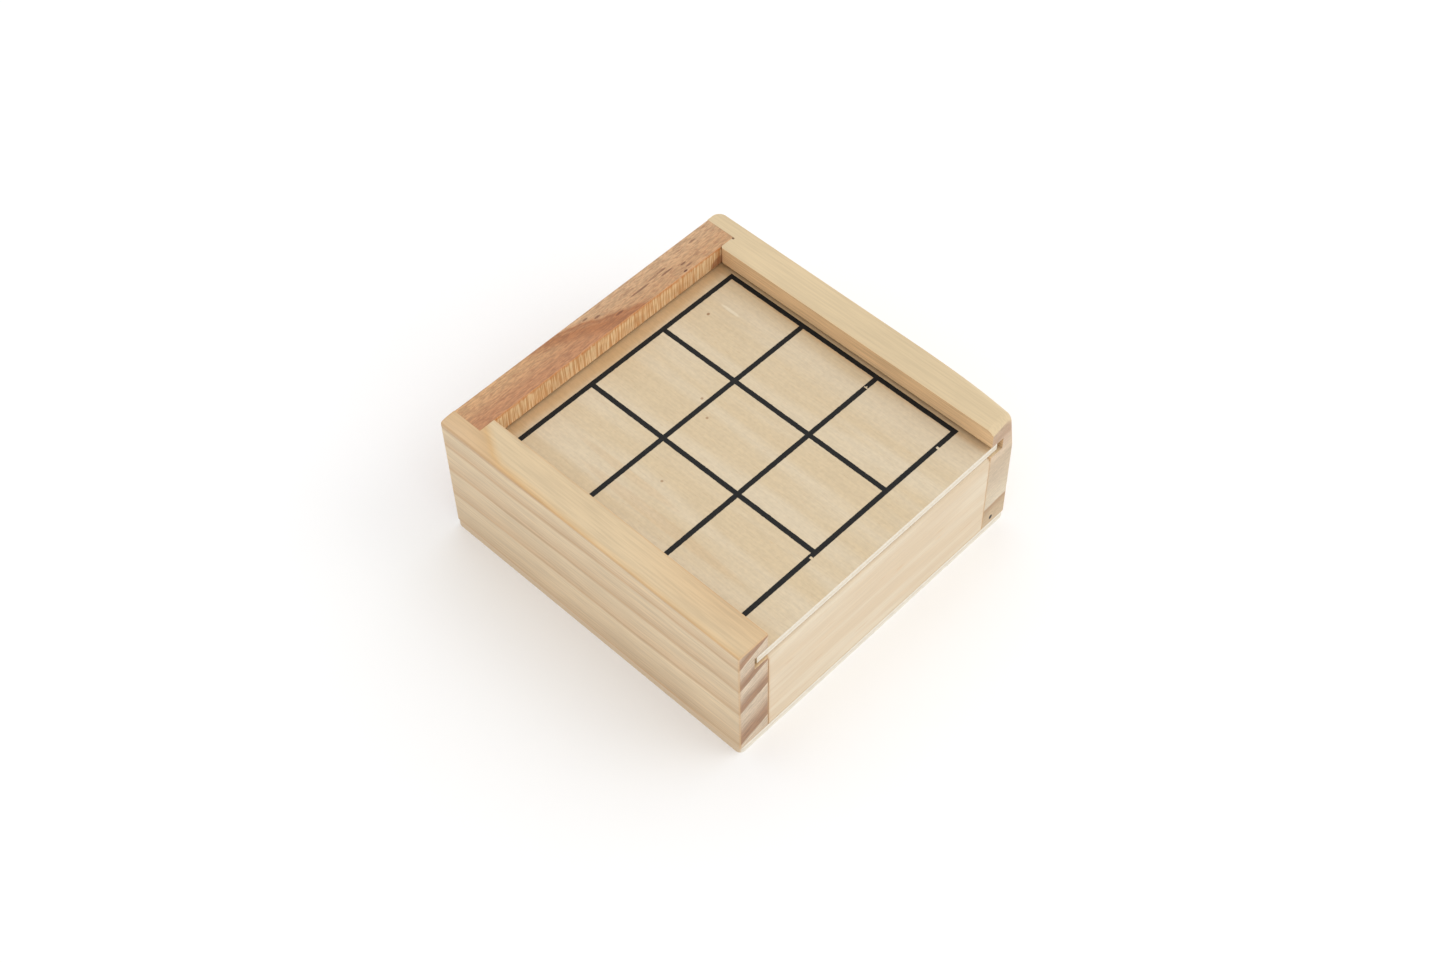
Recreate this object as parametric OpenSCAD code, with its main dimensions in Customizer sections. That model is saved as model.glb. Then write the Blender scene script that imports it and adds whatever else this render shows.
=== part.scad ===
// A small pine puzzle box. Its plywood lid slides in a groove below the tops of the walls, so that the
// three-by-three grid printed on it lies in a shallow tray, and nine loose wooden cubes are kept under it.
// Millimetres. The origin is at the centre of the underside: +X to the right, +Y to the back wall, +Z up.
// The lid draws out over the low front wall, along -Y.

/* [Box] */
// Outside width, across both side walls
box_w = 120.4; // [117:0.1:150]
// Outside depth, from the front wall to the back wall
box_d = 123.5; // [119:0.1:150]
// Outside height, from the underside to the tops of the walls
box_h = 50.2; // [47:0.1:80]

/* [Boards] */
// Thickness of the left side wall
left_wall_t = 12; // [10:0.1:13]
// Thickness of the right side wall, sanded a little thinner
right_wall_t = 11.2; // [10:0.1:13]
// Thickness of the front wall
front_wall_t = 11.4; // [9:0.1:12.5]
// Thickness of the back wall
back_wall_t = 11.4; // [9:0.1:12.5]
// Thickness of the plywood base
base_t = 3; // [2.5:0.1:5]
// How deep the back wall's ends are let into the side walls
rebate_depth = 5.9; // [4:0.1:7]

/* [Rounded edges] */
// Radius of the walls' back right corner, seen from above
back_right_r = 3; // [0.5:0.1:4]
// Radius of the walls' back left corner
back_left_r = 1.2; // [0.5:0.1:4]
// Radius of the walls' front right corner
front_right_r = 1; // [0.5:0.1:4]
// Radius of the walls' front left corner, which is nearly sharp
front_left_r = 0.5; // [0.3:0.1:4]
// Radius of the base's corners
base_corner_r = 2; // [0.5:0.1:4]
// Radius along the inner top edge of the right side wall
right_inner_r = 1.8; // [0.5:0.1:3]
// Radius along the front wall's top edge, which the lid slides over
front_top_r = 2; // [0.5:0.1:4]
// Radius of every other edge that is only eased
eased_r = 0.6; // [0.3:0.1:1]

/* [Lid] */
// Width of the lid, with its two edges in the grooves
lid_w = 105; // [101:0.1:106]
// Length of the lid, from its front edge to its back edge
lid_d = 115.4; // [108:0.1:116]
// Thickness of the plywood lid
lid_t = 3; // [2.5:0.1:3.4]
// How far the lid's top lies below the tops of the walls
lid_sunk = 8.2; // [6.5:0.1:9]
// How far the lid's front edge stands back from the front face
lid_inset = 0.8; // [0:0.1:2]
// Gap between the lid's left edge and the bottom of its groove
lid_left_gap = 1.4; // [0.3:0.1:2]
// Gap between the lid's underside and the floor of the groove
lid_rest_gap = 0.2; // [0.1:0.05:0.3]

/* [Groove] */
// Height of the groove in the side walls
groove_h = 4.8; // [4:0.1:5]
// Height of the groove in the back wall, which holds the lid's back edge more closely
back_groove_h = 4.1; // [3.9:0.1:5]
// Depth of the groove in all three walls
groove_depth = 5.4; // [4.5:0.1:5.8]

/* [Printed grid] */
// Distance from one printed line to the next
grid_pitch = 31; // [28:0.1:31.5]
// Width of a printed line
grid_line_w = 1.7; // [0.8:0.1:2.5]
// Thickness of the film of ink
ink_t = 0.06; // [0.05:0.01:0.2]
// How far the print's centre lies to the right of the box's centre
grid_right = 1.1; // [-1:0.1:1.5]
// How far the print's centre lies in front of the box's centre
grid_forward = 2.05; // [-1:0.05:3]
// How far the print is turned on the lid, in degrees
grid_turn = -0.2; // [-0.5:0.1:0.5]

/* [Cubes] */
// Length of a cube's edge
cube_side = 29; // [24:0.5:29.5]
// Distance from one cube's centre to the next
cube_pitch = 31; // [30:0.1:31.5]
// Radius of a cube's edges
cube_r = 1.2; // [0.5:0.1:3]

/* [Brads] */
// Diameter of a brad's shank
brad_d = 1.2; // [1:0.1:1.6]
// Length of a brad, with its head
brad_l = 15; // [10:1:20]
// Diameter of a brad's head
brad_head_d = 2; // [1.8:0.1:2.4]
// Thickness of a brad's head
brad_head_t = 0.5; // [0.4:0.1:0.8]
// How far a brad's head is sunk into the underside
brad_sunk = 0.2; // [0.1:0.1:0.5]

/* [Hidden] */
$fn = 48;
// How far a cutter runs past the face that it cuts
past = 1;
left = -box_w / 2;
right = box_w / 2;
front = -box_d / 2;
back = box_d / 2;
inner_left = left + left_wall_t;
inner_right = right - right_wall_t;
inner_front = front + front_wall_t;
inner_back = back - back_wall_t;
wall_h = box_h - base_t;
lid_top = box_h - lid_sunk;
lid_bottom = lid_top - lid_t;
groove_floor = lid_bottom - lid_rest_gap;
lid_left = inner_left - groove_depth + lid_left_gap;
lid_front = front + lid_inset;
// The lid clears the front wall by as much again as it clears the groove's floor
front_wall_top = groove_floor - lid_rest_gap;
grid_lines = 4;
grid_side = (grid_lines - 1) * grid_pitch + grid_line_w;
columns = ["left", "middle", "right"];
rows = ["front", "centre", "back"];
// The brads stand in the middle of each wall's thickness: three under each side wall, two under the others
side_brad_y = [-0.4, 0, 0.4] * box_d;
end_brad_x = [-0.24, 0.24] * box_w;
brad_places = concat(
    [for (y = side_brad_y) [left + left_wall_t / 2, y]],
    [for (y = side_brad_y) [right - right_wall_t / 2, y]],
    [for (x = end_brad_x) [x, front + front_wall_t / 2]],
    [for (x = end_brad_x) [x, back - back_wall_t / 2]]
);
pale_pine = [0.91, 0.84, 0.74];
warm_pine = [0.85, 0.75, 0.60];
red_pine = [0.78, 0.60, 0.47];
birch_ply = [0.86, 0.78, 0.65];
beech = [0.80, 0.65, 0.48];
black_ink = [0.12, 0.12, 0.12];
steel = [0.55, 0.55, 0.56];

function cube_name(column, row) = str("cube_", rows[row], "_", columns[column]);

// A rectangle from one corner to the other. Each corner has its own radius, counted from the near left one.
module rounded_rectangle(low, high, radii) {
    inward = [[1, 1], [-1, 1], [-1, -1], [1, -1]];
    corners = [low, [high.x, low.y], high, [low.x, high.y]];
    difference() {
        translate(low) square(high - low);
        for (i = [0:3]) if (radii[i] > 0)
            difference() {
                translate(corners[i]) square(2 * radii[i], center = true);
                translate(corners[i] + radii[i] * inward[i]) circle(radii[i]);
            }
    }
}

// A block whose outline seen from above and whose outline seen from the front have their own rounded corners
module board(low, high, plan_radii, end_radii) {
    intersection() {
        translate([0, 0, low.z]) linear_extrude(high.z - low.z)
            rounded_rectangle([low.x, low.y], [high.x, high.y], plan_radii);
        translate([0, high.y, 0]) rotate([90, 0, 0]) linear_extrude(high.y - low.y)
            rounded_rectangle([low.x, low.z], [high.x, high.z], end_radii);
    }
}

// The brads as solids. Cut out of the wood, they leave the holes that they were driven into.
module brads() {
    for (place = brad_places) translate([place.x, place.y, brad_sunk]) {
        cylinder(d = brad_d, h = brad_l);
        cylinder(d = brad_head_d, h = brad_head_t);
    }
}

// The groove that the lid's edges run in, as one slab that reaches into all three walls and out at the front
module groove_space(height) {
    translate([inner_left - groove_depth, front - past, groove_floor])
        cube([inner_right - inner_left + 2 * groove_depth, inner_back + groove_depth - front + past, height]);
}

// The back wall's place, which is cut out of both side walls as a rebate
module back_wall_space() {
    translate([inner_left - rebate_depth, inner_back, base_t - past])
        cube([inner_right - inner_left + 2 * rebate_depth, back_wall_t + past, wall_h + 2 * past]);
}

module left_side_wall() {
    color(warm_pine) difference() {
        board([left, front, base_t], [inner_left, back, box_h],
            [front_left_r, 0, 0, back_left_r], [0, 0, eased_r, eased_r]);
        groove_space(groove_h);
        back_wall_space();
        brads();
    }
}

module right_side_wall() {
    color(warm_pine) difference() {
        board([inner_right, front, base_t], [right, back, box_h],
            [0, front_right_r, back_right_r, 0], [0, 0, eased_r, right_inner_r]);
        groove_space(groove_h);
        back_wall_space();
        brads();
    }
}

module back_wall() {
    color(red_pine) difference() {
        translate([inner_left - rebate_depth, inner_back, base_t])
            cube([inner_right - inner_left + 2 * rebate_depth, back_wall_t, wall_h]);
        groove_space(back_groove_h);
        brads();
    }
}

module front_wall() {
    color(pale_pine) difference() {
        translate([inner_left, 0, 0]) rotate([90, 0, 90]) linear_extrude(inner_right - inner_left)
            rounded_rectangle([front, base_t], [inner_front, front_wall_top], [0, 0, 0, front_top_r]);
        brads();
    }
}

module base_panel() {
    color(birch_ply) difference() {
        linear_extrude(base_t)
            rounded_rectangle([left, front], [right, back],
                [base_corner_r, base_corner_r, base_corner_r, base_corner_r]);
        brads();
        for (place = brad_places) translate([place.x, place.y, -past])
            cylinder(d = brad_head_d, h = past + brad_sunk);
    }
}

module base_brads() {
    color(steel) brads();
}

module sliding_lid() {
    color(birch_ply) translate([lid_left, lid_front, lid_bottom]) cube([lid_w, lid_d, lid_t]);
}

module printed_grid() {
    color(black_ink) translate([grid_right, -grid_forward, lid_top]) rotate([0, 0, grid_turn])
        linear_extrude(ink_t)
            for (i = [0:grid_lines - 1]) {
                across = (i - (grid_lines - 1) / 2) * grid_pitch;
                translate([across, 0]) square([grid_line_w, grid_side], center = true);
                translate([0, across]) square([grid_side, grid_line_w], center = true);
            }
}

// One loose cube. Three square bars with rounded edges cross in it, which rounds all twelve of its edges.
module loose_cube(column, row) {
    half = cube_side / 2;
    middle_x = (inner_left + inner_right) / 2;
    middle_y = (inner_front + inner_back) / 2;
    color(beech)
        translate([middle_x + (column - 1) * cube_pitch, middle_y + (row - 1) * cube_pitch, base_t + half])
            intersection_for(turn = [[0, 0, 0], [90, 0, 0], [0, 90, 0]])
                rotate(turn) linear_extrude(cube_side, center = true)
                    rounded_rectangle([-half, -half], [half, half], [cube_r, cube_r, cube_r, cube_r]);
}

left_side_wall();
right_side_wall();
back_wall();
front_wall();
base_panel();
base_brads();
sliding_lid();
printed_grid();
for (row = [0:2]) for (column = [0:2])
    loose_cube(column, row);
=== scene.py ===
# %% [markdown]
# # A pine puzzle box with a sliding lid
# The real object is a small sanded box: four pine walls on a plywood base, a plywood lid that slides in a
# groove below the tops of the walls, a black grid of squares printed on the lid, and nine wooden cubes
# inside. The design, its sizes and its joints come from the CAD model. This lesson gives it its looks, and
# it measures its places on the CAD model, so that nothing has to be fitted by eye afterwards.

import math
import random

import bmesh
import bpy
from mathutils import Matrix, Vector, noise


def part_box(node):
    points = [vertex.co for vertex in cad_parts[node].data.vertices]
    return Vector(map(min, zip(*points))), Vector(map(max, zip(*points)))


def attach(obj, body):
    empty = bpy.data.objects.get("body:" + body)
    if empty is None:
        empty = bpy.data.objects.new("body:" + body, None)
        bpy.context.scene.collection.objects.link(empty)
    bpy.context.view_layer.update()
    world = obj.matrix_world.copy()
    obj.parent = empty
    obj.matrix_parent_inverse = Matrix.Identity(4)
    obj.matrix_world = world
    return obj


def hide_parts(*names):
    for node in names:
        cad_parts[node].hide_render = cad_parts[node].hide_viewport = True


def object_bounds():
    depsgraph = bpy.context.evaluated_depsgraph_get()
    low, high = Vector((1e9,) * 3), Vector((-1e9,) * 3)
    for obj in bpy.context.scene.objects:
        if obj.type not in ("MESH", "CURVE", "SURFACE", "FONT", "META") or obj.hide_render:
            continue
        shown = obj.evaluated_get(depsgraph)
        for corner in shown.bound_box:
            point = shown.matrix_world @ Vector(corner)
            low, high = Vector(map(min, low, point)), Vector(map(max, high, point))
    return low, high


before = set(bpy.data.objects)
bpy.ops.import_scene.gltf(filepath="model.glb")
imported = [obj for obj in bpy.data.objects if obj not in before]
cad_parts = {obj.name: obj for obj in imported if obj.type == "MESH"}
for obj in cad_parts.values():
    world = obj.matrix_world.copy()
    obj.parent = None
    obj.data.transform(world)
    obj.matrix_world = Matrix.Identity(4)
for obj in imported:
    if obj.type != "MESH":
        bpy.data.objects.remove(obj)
cad_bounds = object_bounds()
MM = 0.001
print("outside size in mm:", [round(side / MM, 1) for side in cad_bounds[1] - cad_bounds[0]])

# %% [markdown]
# ## Places
# A node of the CAD model knows its lowest and highest corner, and the new boards are measured from those
# corners. A corner says nothing about a groove inside a board, so the groove's few sizes are written down
# here as well. The print and the cubes are asked for their corners when their turn comes.

# %% Read the places off the CAD nodes
left_low, left_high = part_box("left_side_wall")
right_low, right_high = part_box("right_side_wall")
back_low, back_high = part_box("back_wall")
front_low, front_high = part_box("front_wall")
base_low, base_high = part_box("base_panel")
lid_low, lid_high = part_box("sliding_lid")

GROOVE_DEPTH = 5.4 * MM
SIDE_GROOVE_HEIGHT = 4.8 * MM
BACK_GROOVE_HEIGHT = 4.1 * MM
LID_REST_GAP = 0.2 * MM     # between the lid's underside and the groove's floor
REBATE_DEPTH = 5.9 * MM     # how far the back wall is let into each side wall
groove_floor = lid_low.z - LID_REST_GAP
groove_top = groove_floor + SIDE_GROOVE_HEIGHT
wall_top = left_high.z
print("the lid lies", round((wall_top - lid_high.z) / MM, 1), "mm below the tops of the walls")

# %% [markdown]
# ## The camera
# The box is seen from above its front left corner, through a slightly long lens, with the camera a little
# tilted. Its direction could be typed as three angles. It is easier to say where it stands and what it
# looks at, and to let to_track_quat work the angles out.

# %% Set up the camera
CAMERA_PLACE = Vector((-292.9, -289.9, 550.0)) * MM
CAMERA_AIM = Vector((-14.04, -10.98, 42.0)) * MM
CAMERA_ROLL = math.radians(-1.46)
CAMERA_LENS = 54.16
NEAREST_SEEN = 10 * MM
camera = bpy.data.objects.new("camera", bpy.data.cameras.new("camera"))
camera.data.lens = CAMERA_LENS
camera.data.clip_start = NEAREST_SEEN
camera.location = CAMERA_PLACE
look = (CAMERA_AIM - CAMERA_PLACE).to_track_quat("-Z", "Y")
camera.rotation_euler = (look.to_matrix() @ Matrix.Rotation(CAMERA_ROLL, 3, "Z")).to_euler()
bpy.context.scene.collection.objects.link(camera)
bpy.context.scene.camera = camera
print("the camera stands", round((CAMERA_AIM - CAMERA_PLACE).length / MM), "mm away")

# %% [markdown]
# ## Colours
# A colour is easiest to choose as it should look on the screen, from 0 to 255. A shader wants linear
# numbers instead, and this room is a little brighter than plain white. The helper below takes care of both.

# %% Helper for colours
ROOM_LIGHT = 1.07       # a white sheet lying on the box would come out this bright


def paint(red, green, blue):
    """A colour as it should look in this room, turned into the linear numbers that a shader needs."""
    values = [red / 255, green / 255, blue / 255]
    linear = [v / 12.92 if v <= 0.04045 else ((v + 0.055) / 1.055) ** 2.4 for v in values]
    return tuple(v / ROOM_LIGHT for v in linear) + (1.0,)


print("a middle grey is painted", [round(v, 3) for v in paint(128, 128, 128)])

# %% [markdown]
# ## The floor
# A plain pale floor shows wood best. A curved backdrop could hide where the floor ends, but the camera looks
# down at the box, so one large square is enough. It is only the stage and isn't part of the object.

# %% Make the floor
FLOOR_REACH = 6.0
FLOOR_WHITE = (0.98, 0.98, 0.98, 1.0)
FLOOR_ROUGHNESS = 0.9
floor_mesh = bpy.data.meshes.new("floor")
bm = bmesh.new()
bmesh.ops.create_grid(bm, x_segments=1, y_segments=1, size=FLOOR_REACH)
bm.to_mesh(floor_mesh)
bm.free()
floor = bpy.data.objects.new("floor", floor_mesh)
floor_paint = bpy.data.materials.new("white floor")
floor_paint.use_nodes = True
floor_shader = floor_paint.node_tree.nodes["Principled BSDF"]
floor_shader.inputs["Base Color"].default_value = FLOOR_WHITE
floor_shader.inputs["Roughness"].default_value = FLOOR_ROUGHNESS
floor_mesh.materials.append(floor_paint)
bpy.context.scene.collection.objects.link(floor)
print("the floor reaches", FLOOR_REACH, "m from the box to every side")

# %% [markdown]
# ## The light
# Several lamps could light the box, but each of them would throw a shadow of its own. So nearly all the
# light comes from the sky, which is brighter on the front right than on the back left. That shades the left
# side gently and leaves hardly any shadow on the floor. One large lamp adds direction.

# %% Make the sky and the lamp
BRIGHT_SIDE = Vector((0.80, -0.60, 0.0))
SKY_REACH = 0.8         # how far to either side the sky goes on changing
SKY_LOW = 0.84
SKY_HIGH = 1.22
LAMP_PLACE = Vector((0.7, -0.9, 1.3))
LAMP_SIDE = 0.7
LAMP_POWER = 2.0
world = bpy.data.worlds.new("studio")
world.use_nodes = True
sky = world.node_tree
sky_way = sky.nodes.new("ShaderNodeTexCoord")
sky_side = sky.nodes.new("ShaderNodeVectorMath")
sky_side.operation = "DOT_PRODUCT"
sky_side.inputs[1].default_value = BRIGHT_SIDE
sky_fade = sky.nodes.new("ShaderNodeMapRange")
sky_fade.inputs["From Min"].default_value = -SKY_REACH
sky_fade.inputs["From Max"].default_value = SKY_REACH
sky_fade.inputs["To Min"].default_value = SKY_LOW
sky_fade.inputs["To Max"].default_value = SKY_HIGH
sky.links.new(sky_way.outputs["Generated"], sky_side.inputs[0])
sky.links.new(sky_side.outputs["Value"], sky_fade.inputs["Value"])
sky.links.new(sky_fade.outputs[0], sky.nodes["Background"].inputs["Strength"])
sky.nodes["Background"].inputs["Color"].default_value = (1.0, 1.0, 1.0, 1.0)
bpy.context.scene.world = world

box_middle = (cad_bounds[0] + cad_bounds[1]) / 2
lamp = bpy.data.objects.new("key lamp", bpy.data.lights.new("key lamp", "AREA"))
lamp.data.shape = "SQUARE"
lamp.data.size = LAMP_SIDE
lamp.data.energy = LAMP_POWER
lamp.location = LAMP_PLACE
lamp.rotation_euler = (box_middle - LAMP_PLACE).to_track_quat("-Z", "Y").to_euler()
bpy.context.scene.collection.objects.link(lamp)
bpy.context.scene.view_settings.view_transform = "Standard"
print("the lamp stands", round((box_middle - LAMP_PLACE).length, 2), "m away")

# %% [markdown]
# ## A workbench for materials
# Wood is a solid with a direction, so the materials are worked out in space and not painted on the faces.
# Then the rings that show as stripes on a board's side turn up as bands on its end, at the right places,
# with no seams. Each node could be added and linked by hand, but that takes three lines for every sum. The
# class below does it in one call. Its coordinates are millimetres in the box's own space.

# %% Helper for nodes
class Workbench:
    """A material that is put together node by node. Most methods add a node and give back its output."""

    def __init__(self, name):
        self.material = bpy.data.materials.new(name)
        self.material.use_nodes = True
        self.tree = self.material.node_tree
        self.shader = self.tree.nodes["Principled BSDF"]
        source = self.add("ShaderNodeTexCoord")
        self.normal = source.outputs["Normal"]
        self.place = self.scaled(source.outputs["Object"], (1 / MM, 1 / MM, 1 / MM))

    def add(self, kind, **settings):
        node = self.tree.nodes.new(kind)
        for key, value in settings.items():
            setattr(node, key, value)
        return node

    def feed(self, socket, value):
        """Links an output to a socket, or sets the socket to a plain value."""
        if isinstance(value, bpy.types.NodeSocket):
            self.tree.links.new(value, socket)
        else:
            socket.default_value = value

    def maths(self, operation, first, second):
        node = self.add("ShaderNodeMath", operation=operation)
        self.feed(node.inputs[0], first)
        self.feed(node.inputs[1], second)
        return node.outputs[0]

    def vector(self, operation, first, second):
        """The whole node, because a vector node has one output for vectors and one for numbers."""
        node = self.add("ShaderNodeVectorMath", operation=operation)
        self.feed(node.inputs[0], first)
        self.feed(node.inputs[1], second)
        return node

    def scaled(self, vector, factors):
        return self.vector("MULTIPLY", vector, factors).outputs[0]

    def along(self, vector, direction):
        """How far a point lies along a direction."""
        return self.vector("DOT_PRODUCT", vector, direction).outputs["Value"]

    def xyz(self, vector):
        """The three numbers of a vector, one by one."""
        node = self.add("ShaderNodeSeparateXYZ")
        self.feed(node.inputs[0], vector)
        return list(node.outputs)

    def step(self, value, start, end, low=0.0, high=1.0):
        """Goes smoothly from low to high while the value goes from start to end."""
        node = self.add("ShaderNodeMapRange", interpolation_type="SMOOTHSTEP")
        for socket, number in zip(node.inputs, (value, start, end, low, high)):
            self.feed(socket, number)
        return node.outputs[0]

    def ramp(self, value, stops):
        """A row of colours or greys, each at its own place in mm along the value."""
        first, last = stops[0][0], stops[-1][0]
        spread = self.add("ShaderNodeMapRange")
        for socket, number in zip(spread.inputs, (value, first, last, 0.0, 1.0)):
            self.feed(socket, number)
        node = self.add("ShaderNodeValToRGB")
        self.feed(node.inputs[0], spread.outputs[0])
        row = node.color_ramp.elements
        while len(row) < len(stops):
            row.new(1.0)
        for element, (spot, colour) in zip(row, stops):
            element.position = (spot - first) / (last - first)
            element.color = colour if isinstance(colour, tuple) else (colour, colour, colour, 1.0)
        return node.outputs["Color"]

    def mix(self, factor, first, second, mode="MIX"):
        node = self.add("ShaderNodeMix", data_type="RGBA", blend_type=mode)
        open_inputs = [socket for socket in node.inputs if socket.enabled]
        for socket, value in zip(open_inputs, (factor, first, second)):
            self.feed(socket, value)
        return [socket for socket in node.outputs if socket.enabled][0]


print("workbench ready")

# %% [markdown]
# ## Tools for wood
# Every board has fibres, stains, spots of painted shade, painted warm light along its edges, and faces
# that look different ways. Each of these could be built again for every board. As a method it has a name
# and is built once, and the boards stay easy to read. Stretched noise makes the fibres: long along the
# grain, and less than a millimetre across it. In each call of cloud, the first three numbers are the size
# of the noise's blobs in mm along X, Y and Z. Then come its detail and a shift, which keeps two noises from
# being the same.

# %% Helper for wood
GRAIN_HEIGHT = 0.15 * MM


class Recipe(Workbench):
    """A workbench with tools for wood."""

    def cloud(self, size, detail=2.0, shift=(0.0, 0.0, 0.0)):
        """Noise from 0 to 1, whose blobs have this size in mm along X, Y and Z."""
        stretched = self.scaled(self.place, tuple(1 / side for side in size))
        moved = self.vector("ADD", stretched, shift).outputs[0]
        node = self.add("ShaderNodeTexNoise")
        node.inputs["Scale"].default_value = 1.0
        node.inputs["Detail"].default_value = detail
        self.feed(node.inputs["Vector"], moved)
        return node.outputs["Fac"]

    def centred(self, value, width):
        """Turns noise from 0 to 1 into a swing around zero."""
        return self.maths("MULTIPLY", self.maths("SUBTRACT", value, 0.5), width)

    def facing(self):
        """How much a face looks along X, Y and Z, whichever way round."""
        return self.xyz(self.vector("ABSOLUTE", self.normal, (0, 0, 0)).outputs[0])

    def towards(self, direction, start, end):
        """1 on faces that look one way, and 0 on the others."""
        return self.step(self.along(self.normal, direction), start, end)

    def darken(self, colour, factor):
        return self.mix(1.0, colour, factor, mode="MULTIPLY")

    def tint(self, colour, grain, low, high):
        """Darkens and lightens a colour by a noise, from the low factor to the high one."""
        return self.darken(colour, self.step(grain, 0.3, 0.7, low, high))

    def lay_colour(self, wood, where, strength, colour):
        """Lays a colour over the wood where a value is near 1."""
        return self.mix(self.maths("MULTIPLY", where, strength), wood, colour)

    def edge_distance(self, low, high):
        """The distance in mm from a point on a board's surface to the board's nearest edge."""
        from_low = self.vector("SUBTRACT", self.place, low / MM).outputs[0]
        from_high = self.vector("SUBTRACT", high / MM, self.place).outputs[0]
        x, y, z = self.xyz(self.vector("MINIMUM", from_low, from_high).outputs[0])
        low_two = self.maths("MINIMUM", x, y)
        high_two = self.maths("MAXIMUM", x, y)
        return self.maths("MAXIMUM", low_two, self.maths("MINIMUM", high_two, z))

    def spot(self, centre, reach):
        """1 inside a small blob around a point, fading to 0 at its rim. Centre and reach in mm."""
        from_centre = self.vector("SUBTRACT", self.place, centre).outputs[0]
        offset = self.scaled(from_centre, tuple(1 / side for side in reach))
        size = self.vector("DOT_PRODUCT", offset, offset)
        return self.step(size.outputs["Value"], 1.2, 0.5)

    def finish(self, colour, grain, roughness, bump=0.12, grain_range=(0.2, 0.8)):
        """Connects the shader. Where the grain's noise is high, the surface is rougher and stands up."""
        self.feed(self.shader.inputs["Base Color"], colour)
        self.feed(self.shader.inputs["Roughness"], self.step(grain, *grain_range, *roughness))
        node = self.add("ShaderNodeBump")
        node.inputs["Strength"].default_value = bump
        node.inputs["Distance"].default_value = GRAIN_HEIGHT
        self.feed(node.inputs["Height"], grain)
        self.feed(self.shader.inputs["Normal"], node.outputs[0])
        print(self.material.name, "has", len(self.tree.nodes), "nodes")
        return self.material


print("tools for wood ready")

# %% [markdown]
# ## Pine, sawn from a slope through the rings
# A tree adds a ring a year: pale wood in spring, which darkens through the summer and ends with a sharp
# line in autumn. On the left wall the rings lie at a slope of twenty degrees, and they sink a little
# towards the back. A wave texture could draw them, but its rings are all equally wide. Instead, one slanted
# ruler runs through the board, bent by soft noise, and says how far along the rings each point lies.

# %% Left wall: a ruler across the rings
RING_SLOPE = math.radians(20)
RING_SINK = 0.035       # per mm towards the back
RING_ENDS = [-8.0, 4.3, 20.3, 31.5, 42.2, 50.0, 60.0]
across_rings = Vector((-math.sin(RING_SLOPE), RING_SINK, math.cos(RING_SLOPE)))
left_pine = Recipe("left wall pine")
corner = Vector((left_low.x, left_low.y, 0)) / MM
from_corner = left_pine.vector("SUBTRACT", left_pine.place, corner).outputs[0]
x, y = left_pine.xyz(from_corner)[:2]
wander = left_pine.centred(left_pine.cloud((20, 45, 10), 1.0), 2.0)
ripple = left_pine.centred(left_pine.cloud((3, 14, 2), 1.0, (4, 4, 4)), 0.7)
ruler = left_pine.maths("ADD", left_pine.along(from_corner, across_rings), wander)
ruler = left_pine.maths("ADD", ruler, ripple)
print("the left wall shows", len(RING_ENDS) - 1, "rings")

# %% [markdown]
# ## Ends and sides of the left wall
# The same rings look different on a board's end, where they are dark and sharp, and on its side, where they
# are pale. So the ruler reads two rows of greys, one for each. Fine lines that run along the rings make
# them look grown. Their noise has to bend with the rings, so it is asked for in a space whose height is the
# ruler.

# %% Left wall: its ends and its sides
SIDE_SPRING = paint(229, 206, 171)
SIDE_AUTUMN = paint(204, 168, 128)
END_SPRING = paint(218, 198, 172)
END_AUTUMN = paint(166, 126, 95)
end_stops = []
side_stops = []
for start, end in zip(RING_ENDS, RING_ENDS[1:]):
    ring = end - start
    end_stops += [(start + 0.25, 0.95), (start + 0.25 * ring, 0.95), (start + 0.45 * ring, 0.6)]
    end_stops += [(start + 0.65 * ring, 0.2), (end - 0.25, 0.0)]
    side_stops += [(start + 0.2, 0.85), (start + 0.9, 0.5), (start + 0.2 * ring, 0.42)]
    side_stops += [(start + 0.45 * ring, 0.2), (end - 1.0, 0.0)]
end_rings = left_pine.ramp(ruler, end_stops)
side_rings = left_pine.ramp(ruler, side_stops)
ring_space = left_pine.add("ShaderNodeCombineXYZ")
for socket, value in zip(ring_space.inputs, (x, y, ruler)):
    left_pine.feed(socket, value)
box_space = left_pine.place
left_pine.place = ring_space.outputs[0]         # so that the next two noises run along the rings
ring_lines = left_pine.cloud((7, 40, 0.4), 3.0, (1, 8, 3))
side_lines = left_pine.cloud((6, 60, 0.7), 3.0, (2, 7, 4))
left_pine.place = box_space
side_colour = left_pine.tint(left_pine.mix(side_rings, SIDE_SPRING, SIDE_AUTUMN), side_lines, 0.91, 1.05)
# Painted shade: the sides get darker towards the bottom, near the floor.
painted_shade_low = left_pine.step(left_pine.along(left_pine.place, (0, 0, 1)), 3.0, 18.0, 0.93, 1.0)
side_colour = left_pine.darken(side_colour, painted_shade_low)
end_colour = left_pine.tint(left_pine.mix(end_rings, END_SPRING, END_AUTUMN), ring_lines, 0.74, 1.15)
print("each ring has", len(end_stops) // (len(RING_ENDS) - 1), "greys on the ends and on the sides")

# %% [markdown]
# ## Top of the left wall
# The top lies nearly in line with one ring, so a ring could only show there as one broad patch. On this
# board it is a tan patch at the back corner, whose rim curves away to the front. The rim is drawn as a row
# of numbers along the length. Last, the three looks are put on the faces that look their way, and the
# edges get a brown that is painted warm light on their rounding.

# %% Left wall: its top, and all faces together
RIM_UNIT = 10.0
TOP_PATCH = paint(214, 170, 118)
LEFT_EDGE_PAINTED_LIGHT = paint(206, 158, 106)
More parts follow.
